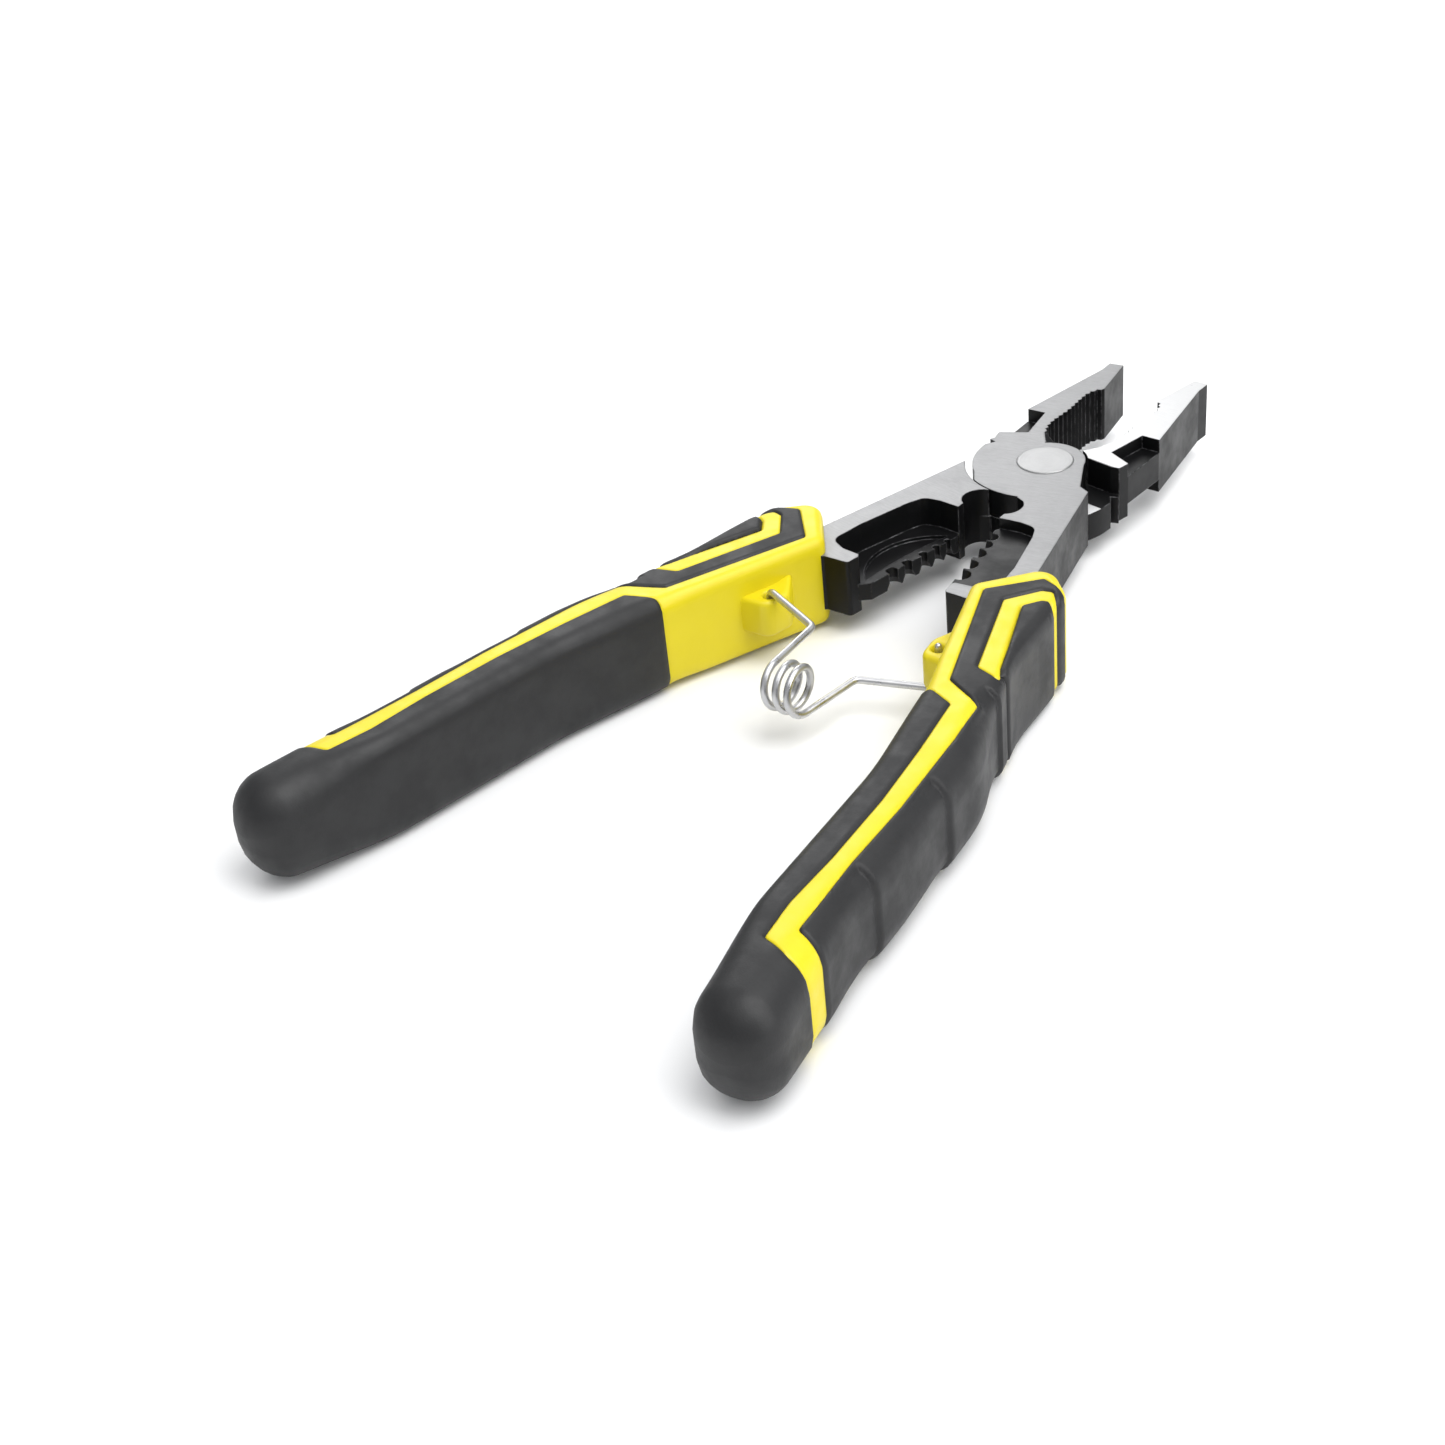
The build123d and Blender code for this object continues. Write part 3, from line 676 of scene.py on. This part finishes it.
def forged_steel(side):
    """Blackened forging whose outer faces are ground, with bare edges and a rubbed bright lap face."""
    s = Shader(f"forged_steel_{side}")
    place, x, y, z = half_frame(s, side)
    geometry = s.add("ShaderNodeNewGeometry")
    facing = s.add("ShaderNodeSeparateXYZ", {0: geometry.outputs["True Normal"]}).outputs[2]
    flat = s.math("GREATER_THAN", s.math("ABSOLUTE", facing), LEVEL_FACING)
    depth = s.math("ABSOLUTE", z)
    ground = s.math("MULTIPLY", flat, s.math("GREATER_THAN", depth, (STEEL_HALF - 0.3) * MM))
    lap = s.math("MULTIPLY", flat, s.math("LESS_THAN", depth, LAP_DEPTH * MM))
    reach = s.math("SQRT", s.math("ADD", s.math("POWER", x, 2.0), s.math("POWER", y, 2.0)))
    rubbed = s.math("MULTIPLY", s.math("LESS_THAN", reach, RUBBED_RADIUS * MM), s.math("LESS_THAN", y, 0.0))
    lap = s.math("MULTIPLY", lap, rubbed)
    # painted highlight: the ground face of the lower half's jaw is painted far lighter than the other
    # ground faces, standing in for a reflection
    jaw_highlight = s.math("MULTIPLY", s.math("LESS_THAN", z, 0.0), s.math("GREATER_THAN", y, JAW_HIGHLIGHT_Y * MM))
    jaw_highlight = s.math("MULTIPLY", jaw_highlight, ground)
    rounded_edge = s.add("ShaderNodeBevel", {"Radius": 0.00035}, samples=4).outputs[0]
    true = s.add("ShaderNodeVectorMath", {0: rounded_edge, 1: geometry.outputs["True Normal"]},
                 operation="DOT_PRODUCT").outputs["Value"]
    broken = s.noise(500.0, 4.0, 0.7)
    edge = s.math("MULTIPLY", s.ramp(true, 0.985, 0.90), s.ramp(broken, 0.40, 0.62))
    grind = s.noise(260.0, 5.0, 0.65, stretch=(1.0, 22.0, 1.0), vector=place)
    cross = s.noise(900.0, 3.0, 0.6, stretch=(1.0, 9.0, 1.0), vector=place)
    cloudy = s.noise(45.0, 5.0, 0.62)
    oxide = s.mix(cloudy, (0.002, 0.002, 0.0022, 1.0), (0.007, 0.007, 0.0075, 1.0))
    satin = s.mix(grind, (0.24, 0.24, 0.242, 1.0), (0.36, 0.36, 0.363, 1.0))
    stain = s.ramp(s.noise(38.0, 6.0, 0.7), 0.46, 0.74)
    satin = s.mix(s.math("MULTIPLY", stain, 0.25), satin, (0.15, 0.15, 0.152, 1.0))
    # colour of the painted highlight on the jaw face, with darker pit specks in it
    bright = s.mix(grind, (0.60, 0.60, 0.60, 1.0), (0.72, 0.72, 0.72, 1.0))
    pits = s.ramp(s.noise(700.0, 3.0, 0.7), 0.70, 0.76)
    bright = s.mix(s.math("MULTIPLY", pits, 0.6), bright, (0.25, 0.25, 0.25, 1.0))
    colour = s.mix(s.math("MULTIPLY", edge, 0.55), oxide, (0.30, 0.30, 0.31, 1.0))
    colour = s.mix(ground, colour, satin)
    colour = s.mix(jaw_highlight, colour, bright)
    colour = s.mix(lap, colour, grey(0.80))
    bare = s.math("MAXIMUM", ground, lap)
    metal = s.blend(bare, s.math("MULTIPLY", edge, 0.5), 0.80)
    rough_oxide = s.ramp(s.noise(120.0, 5.0, 0.65), 0.3, 0.7, 0.28, 0.46)
    roughness = s.blend(bare, rough_oxide, s.ramp(cross, 0.3, 0.7, 0.36, 0.50))
    forged = s.math("ADD", s.noise(110.0, 4.0, 0.6), s.math("MULTIPLY", s.noise(900.0, 2.0), 0.25))
    height = s.blend(bare, forged, s.math("MULTIPLY", s.math("ADD", grind, cross), 0.10))
    normal = s.bump(height, 0.35, 0.00012, rounded_edge)
    return s.finish(Base_Color=colour, Roughness=roughness, Metallic=metal, Normal=normal,
                    Specular_IOR_Level=0.2)


def rivet_steel():
    """Turned rivet heads: bright rings round the pivot axis."""
    s = Shader("rivet_steel")
    offset = s.add("ShaderNodeVectorMath", {0: s.place, 1: tuple(PIVOT)}, operation="SUBTRACT").outputs[0]
    parts = s.add("ShaderNodeSeparateXYZ", {0: offset})
    reach = s.math("SQRT", s.math("ADD", s.math("POWER", parts.outputs[0], 2.0),
                                  s.math("POWER", parts.outputs[1], 2.0)))
    line = s.add("ShaderNodeCombineXYZ", {0: reach}).outputs[0]
    rings = s.noise(2600.0, 3.0, 0.6, vector=line)
    cloudy = s.noise(240.0, 4.0, 0.6)
    colour = s.mix(cloudy, (0.32, 0.32, 0.32, 1.0), (0.42, 0.42, 0.42, 1.0))
    edge = s.add("ShaderNodeBevel", {"Radius": 0.0004}, samples=4).outputs[0]
    normal = s.bump(rings, 0.15, 0.00003, edge)
    roughness = s.ramp(rings, 0.3, 0.7, 0.34, 0.44)
    return s.finish(Base_Color=colour, Roughness=roughness, Metallic=0.8, Normal=normal)


def wire_steel():
    s = Shader("wire_steel")
    drawn = s.noise(2200.0, 3.0, 0.6)
    cloudy = s.noise(300.0, 3.0, 0.6)
    colour = s.mix(cloudy, (0.42, 0.42, 0.43, 1.0), (0.66, 0.66, 0.67, 1.0))
    normal = s.bump(drawn, 0.2, 0.00003)
    roughness = s.ramp(cloudy, 0.3, 0.7, 0.24, 0.40)
    return s.finish(Base_Color=colour, Roughness=roughness, Metallic=0.9, Normal=normal)


def floor_paint():
    s = Shader("floor_paint")
    colour = s.mix(s.noise(6.0, 3.0), grey(0.86), grey(0.88))
    return s.finish(Base_Color=colour, Roughness=0.9, Specular_IOR_Level=0.1)


# ---------------------------------------------------------------- the object
rubber = soft_rubber()
plastic = hard_plastic()

surface_points, surface_faces, surface_labels = grip_surface()
surface_normals = vertex_normals(surface_points, surface_faces)
boss_points, boss_faces = boss()
for side in ("right", "left"):
    for region in ("grip_core", *REGIONS):
        own = [face for face, name in zip(surface_faces, surface_labels) if name == region]
        points, faces = closed_skin(surface_points, surface_normals, own, SKIN_THICKNESS)
        if region == "grip_core":
            faces = faces + [tuple(k + len(points) for k in face) for face in boss_faces]
            points = np.vstack([points, boss_points])
        material = plastic if region == "grip_core" else rubber
        piece = new_mesh(f"{side}_{region}_moulded", to_row_frame(points, side), faces, material)
        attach(piece, f"{side}_half")
        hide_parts(f"{side}_{region}")
    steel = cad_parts[f"{side}_forged_half"]
    steel.data.materials.clear()
    steel.data.materials.append(forged_steel(side))

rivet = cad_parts["pivot_rivet"]
rivet.data.materials.clear()
rivet.data.materials.append(rivet_steel())


def bent(points, radius):
    """Points of a line through the given corners, each corner rounded."""
    made = [points[0]]
    for before, here, after in zip(points, points[1:], points[2:]):
        u = (before - here) / np.linalg.norm(before - here)
        v = (after - here) / np.linalg.norm(after - here)
        half_angle = math.acos(np.clip(u @ v, -1, 1)) / 2
        reach = radius / math.tan(half_angle)
        centre = here + (u + v) / np.linalg.norm(u + v) * radius / math.sin(half_angle)
        start, end = here + u * reach - centre, here + v * reach - centre
        turn = math.acos(np.clip(start @ end / radius**2, -1, 1))
        for k in range(WIRE_BEND_STEPS + 1):
            t = k / WIRE_BEND_STEPS
            arm = start * math.sin((1 - t) * turn) + end * math.sin(t * turn)
            made.append(centre + arm / math.sin(turn))
    made.append(points[-1])
    return made


def spring_line():
    """The spring's centre line from the left wire end to the right one, about the pivot, in millimetres."""
    angles = np.radians(np.arange(180.0, 630.1, 5.0))
    coil = [
        np.array([COIL_PITCH * (a - math.pi) / (2 * math.pi), COIL_Y + COIL_RADIUS * math.cos(a),
                  COIL_RADIUS * math.sin(a)]) for a in angles
    ]
    c, s = math.cos(HALF_OPENING), math.sin(HALF_OPENING)
    hole = (BOSS_HOLE[0] * c - BOSS_HOLE[1] * s, BOSS_HOLE[0] * s + BOSS_HOLE[1] * c)
    rise = COIL_PITCH / (2 * math.pi * COIL_RADIUS)
    bend = np.array([coil[-1][0] + rise * (LEG_BEND_Y - COIL_Y), LEG_BEND_Y, -COIL_RADIUS])
    under = np.array([*hole, -(BOSS_HALF + WIRE_OVER_BOSS + WIRE_RADIUS)])
    end = np.array([*hole, BOSS_HALF + WIRE_END_PAST_BOSS])
    half = coil + bent([coil[-1], bend, under, end], WIRE_BEND_RADIUS)[1:]
    half = np.array(half)
    mirrored = half[::-1] * np.array([-1.0, 1.0, -1.0])
    return np.vstack([mirrored[:-1], half])


def wire(line, radius, sides):
    """A round wire with rounded ends along a line."""
    along = np.concatenate([[0], np.cumsum(np.linalg.norm(np.diff(line, axis=0), axis=1))])
    at = np.linspace(0, along[-1], int(along[-1] / 0.5))
    at = np.concatenate([[0, 0.04 * radius, 0.2 * radius, 0.5 * radius, radius], at[3:-3],
                         along[-1] - radius * np.array([1, 0.5, 0.2, 0.04, 0])])
    centre = np.stack([np.interp(at, along, line[:, k]) for k in range(3)], 1)
    near_end = np.minimum(np.minimum(at, along[-1] - at), radius) / radius
    thick = radius * np.sqrt(np.clip(1 - (1 - near_end) ** 2, 0.0, 1.0))
    thick[[0, -1]] = 0.05 * radius
    heading = np.gradient(centre, at, axis=0)
    heading /= np.linalg.norm(heading, axis=1)[:, None]
    across = np.cross(heading[0], (1.0, 0.0, 0.0))
    points, faces = [], []
    for k in range(len(at)):
        across = across - heading[k] * (across @ heading[k])
        across /= np.linalg.norm(across)
        other = np.cross(heading[k], across)
        for j in range(sides):
            a = 2 * math.pi * j / sides
            points.append(centre[k] + thick[k] * (across * math.cos(a) + other * math.sin(a)))
    for k in range(len(at) - 1):
        for j in range(sides):
            a, b = k * sides + j, k * sides + (j + 1) % sides
            faces.append((a, b, b + sides, a + sides))
    faces.append(tuple(reversed(range(sides))))
    faces.append(tuple(range((len(at) - 1) * sides, len(at) * sides)))
    return np.array(points), faces


wire_points, wire_faces = wire(spring_line(), WIRE_RADIUS, WIRE_SIDES)
spring = new_mesh("return_spring_wire", wire_points * MM + PIVOT, wire_faces, wire_steel())
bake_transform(spring)
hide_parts("right_spring_half", "left_spring_half")

# ---------------------------------------------------------------- studio
FLOOR_HALF = 6.0
FLOOR_DROP = 0.0003
floor_mesh = bpy.data.meshes.new("studio_floor")
floor_mesh.from_pydata(
    [(-FLOOR_HALF, -FLOOR_HALF, 0), (FLOOR_HALF, -FLOOR_HALF, 0), (FLOOR_HALF, FLOOR_HALF, 0),
     (-FLOOR_HALF, FLOOR_HALF, 0)], [], [(0, 1, 2, 3)],
)
floor = bpy.data.objects.new("studio_floor", floor_mesh)
floor.location.z = -FLOOR_DROP
floor_mesh.materials.append(floor_paint())
bpy.context.scene.collection.objects.link(floor)


def soft_box(name, place, target, size, power):
    lamp = bpy.data.lights.new(name, "AREA")
    lamp.shape = "RECTANGLE"
    lamp.size, lamp.size_y = size
    lamp.energy = power
    holder = bpy.data.objects.new(name, lamp)
    holder.location = place
    holder.rotation_euler = (Vector(target) - Vector(place)).to_track_quat("-Z", "Y").to_euler()
    bpy.context.scene.collection.objects.link(holder)


soft_box("key_light", (0.45, 0.15, 1.0), (0.0, 0.0, 0.0), (0.9, 0.9), 9.0)
soft_box("side_light", (1.0, 0.1, 0.45), (0.0, 0.0, 0.01), (0.7, 0.5), 3.0)
soft_box("back_light", (-0.9, 0.95, 0.8), (0.0, 0.0, 0.0), (0.8, 0.8), 6.0)

sun = bpy.data.lights.new("room_light", "SUN")
sun.energy = 1.0
sun.angle = math.radians(60.0)
sun_holder = bpy.data.objects.new("room_light", sun)
sun_holder.rotation_euler = (math.radians(12.0), math.radians(8.0), 0.0)
bpy.context.scene.collection.objects.link(sun_holder)

world = bpy.data.worlds.new("studio_air")
world.use_nodes = True
air = world.node_tree.nodes["Background"]
air.inputs["Color"].default_value = (0.95, 0.97, 1.0, 1.0)
air.inputs["Strength"].default_value = 0.5
bpy.context.scene.world = world

CAMERA_YAW, CAMERA_PITCH, CAMERA_ROLL = -0.7315318, 0.5826799, -0.1110304
CAMERA_FROM_PIVOT = (0.219133, -0.355173, 0.219896)
CAMERA_LENS = 54.09
camera_data = bpy.data.cameras.new("photo_camera")
camera_data.lens = CAMERA_LENS
camera_data.sensor_width = 36.0
camera_data.sensor_fit = "HORIZONTAL"
camera_data.clip_start, camera_data.clip_end = 0.02, 50.0
camera = bpy.data.objects.new("photo_camera", camera_data)
forward = Vector((
    math.sin(CAMERA_YAW) * math.cos(CAMERA_PITCH),
    math.cos(CAMERA_YAW) * math.cos(CAMERA_PITCH),
    -math.sin(CAMERA_PITCH),
))
level = Vector((math.cos(CAMERA_YAW), -math.sin(CAMERA_YAW), 0.0))
upright = level.cross(forward)
across = math.cos(CAMERA_ROLL) * level + math.sin(CAMERA_ROLL) * upright
upward = -math.sin(CAMERA_ROLL) * level + math.cos(CAMERA_ROLL) * upright
place = Vector(PIVOT) + Vector(CAMERA_FROM_PIVOT)
camera.matrix_world = Matrix((
    (across.x, upward.x, -forward.x, place.x),
    (across.y, upward.y, -forward.y, place.y),
    (across.z, upward.z, -forward.z, place.z),
    (0, 0, 0, 1),
))
bpy.context.scene.collection.objects.link(camera)
bpy.context.scene.camera = camera
bpy.context.scene.view_settings.view_transform = "Standard"
